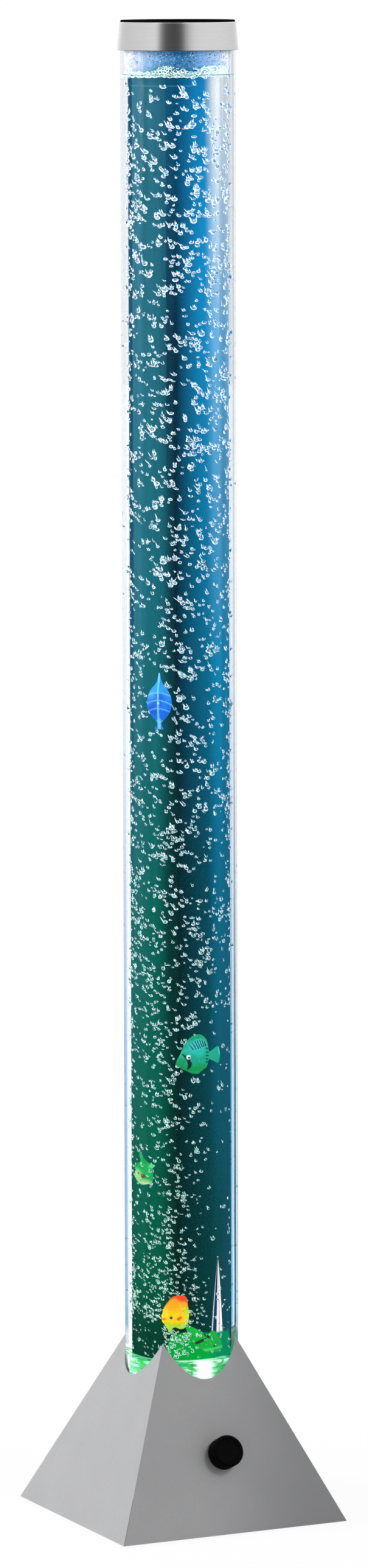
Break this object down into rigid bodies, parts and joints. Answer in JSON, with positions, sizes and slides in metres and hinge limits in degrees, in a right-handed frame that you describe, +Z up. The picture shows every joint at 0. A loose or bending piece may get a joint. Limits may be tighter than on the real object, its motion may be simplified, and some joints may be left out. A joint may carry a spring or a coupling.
{
  "type": "bubble tube floor lamp",
  "caption": "Tall clear water tube with drifting plastic fish and rising bubbles, on a silver pyramid base with a knurled control knob, under a satin silver cap.",
  "frame": {"origin": "centre of the footprint, on the floor", "axes": "+Z up along the tube; -Y is the front, where the knob is; +X to the right seen from the front"},
  "size_m": [0.2, 0.2, 1.211],
  "materials": {
    "cover_metal": "fine satin grain",
    "cap_metal": "satin, turned",
    "cap_black": "fine matt",
    "knob_black": "fine matt, knurled side",
    "black_plastic": "moulded",
    "white_plastic": "moulded",
    "clear_acrylic": "clear, polished",
    "plug_acrylic": "turned, ribbed side",
    "hose_clear": "soft clear tube",
    "stone": "sintered grains",
    "rubber": "matt",
    "zinc_steel": "zinc plated",
    "base_steel": "powder coat",
    "screw_steel": "bright zinc",
    "aluminium": "turned",
    "brass": "turned",
    "copper": "enamelled winding",
    "core_iron": "stacked sheets",
    "magnet": "ground ferrite",
    "board_white": "white solder mask",
    "board_green": "green solder mask",
    "board_parts": "mixed parts",
    "led_yellow": "clear lens",
    "lead_black": "soft sheath",
    "lead_red": "soft sheath",
    "lead_yellow": "soft sheath",
    "lead_blue": "soft sheath",
    "fish_blue": "painted, ribbed fins",
    "fish_turquoise": "painted stripes",
    "fish_lime": "painted",
    "fish_orange": "painted, green belly",
    "fish_green": "painted, dark bands"
  },
  "bodies": {
    "lamp": {"base_cover": "cover_metal", "rim_frame": "zinc_steel", "base_plate": "base_steel", "base_screws": "screw_steel", "feet": "rubber", "holder_posts": "aluminium", "holder_screws": "screw_steel", "tube_holder": "black_plastic", "tube": "clear_acrylic", "bottom_plug": "plug_acrylic", "plug_rings": "rubber", "air_stone": "stone", "air_stem": "brass", "stem_gasket": "rubber", "stem_nut": "brass", "air_hose": "hose_clear", "check_valve": "white_plastic", "led_carrier": "aluminium", "led_board": "board_white", "led_chips": "led_yellow", "pump_body": "black_plastic", "pump_lid": "black_plastic", "pump_feet": "rubber", "pump_core": "core_iron", "pump_bobbin": "white_plastic", "pump_coil": "copper", "arm_pin": "screw_steel", "pump_diaphragm": "rubber", "valve_block": "white_plastic", "potentiometer": "zinc_steel", "pot_nut": "screw_steel", "power_jack": "black_plastic", "jack_nut": "screw_steel", "control_board": "board_green", "board_parts": "board_parts", "board_standoffs": "brass", "jack_lead": "lead_black", "pump_lead": "lead_red", "led_lead": "lead_yellow", "pot_lead": "lead_blue", "cap_gasket": "rubber"},
    "knob": {"knob": "knob_black", "knob_shaft": "screw_steel"},
    "cap": {"cap_ring": "cap_metal", "cap_top": "cap_black", "cap_liner": "black_plastic"},
    "arm": {"pump_arm": "zinc_steel", "arm_magnet": "magnet"},
    "fish_blue": {"fish_blue": "fish_blue"},
    "fish_striped": {"fish_striped": "fish_turquoise"},
    "fish_small": {"fish_small": "fish_lime"},
    "fish_orange": {"fish_orange": "fish_orange"},
    "fish_green": {"fish_green": "fish_green"}
  },
  "joints": [
    {"name": "knob_turn", "type": "hinge", "parent": "lamp", "child": "knob", "pos_m": [0, -0.07281, 0.061], "axis": [0, -0.9082, 0.4185], "range_deg": [-150, 150]},
    {"name": "cap_lift", "type": "slide", "parent": "lamp", "child": "cap", "axis": [0, 0, 1], "range_m": [0, 0.06]},
    {"name": "arm_swing", "type": "hinge", "parent": "lamp", "child": "arm", "pos_m": [-0.023, 0.0445, 0.024], "axis": [0, 0, 1], "range_deg": [-1.2, 1.2], "deforming": ["pump_diaphragm"]},
    {"name": "fish_blue_drift", "type": "slide", "parent": "lamp", "child": "fish_blue", "axis": [0, 0, 1], "range_m": [-0.18, 0.45]},
    {"name": "fish_striped_drift", "type": "slide", "parent": "lamp", "child": "fish_striped", "axis": [0, 0, 1], "range_m": [-0.06, 0.06]},
    {"name": "fish_small_drift", "type": "slide", "parent": "lamp", "child": "fish_small", "axis": [0, 0, 1], "range_m": [-0.12, 0.12]},
    {"name": "fish_orange_drift", "type": "slide", "parent": "lamp", "child": "fish_orange", "axis": [0, 0, 1], "range_m": [-0.02, 0.08]},
    {"name": "fish_green_drift", "type": "slide", "parent": "lamp", "child": "fish_green", "axis": [0, 0, 1], "range_m": [-0.004, 0.1]}
  ]
}
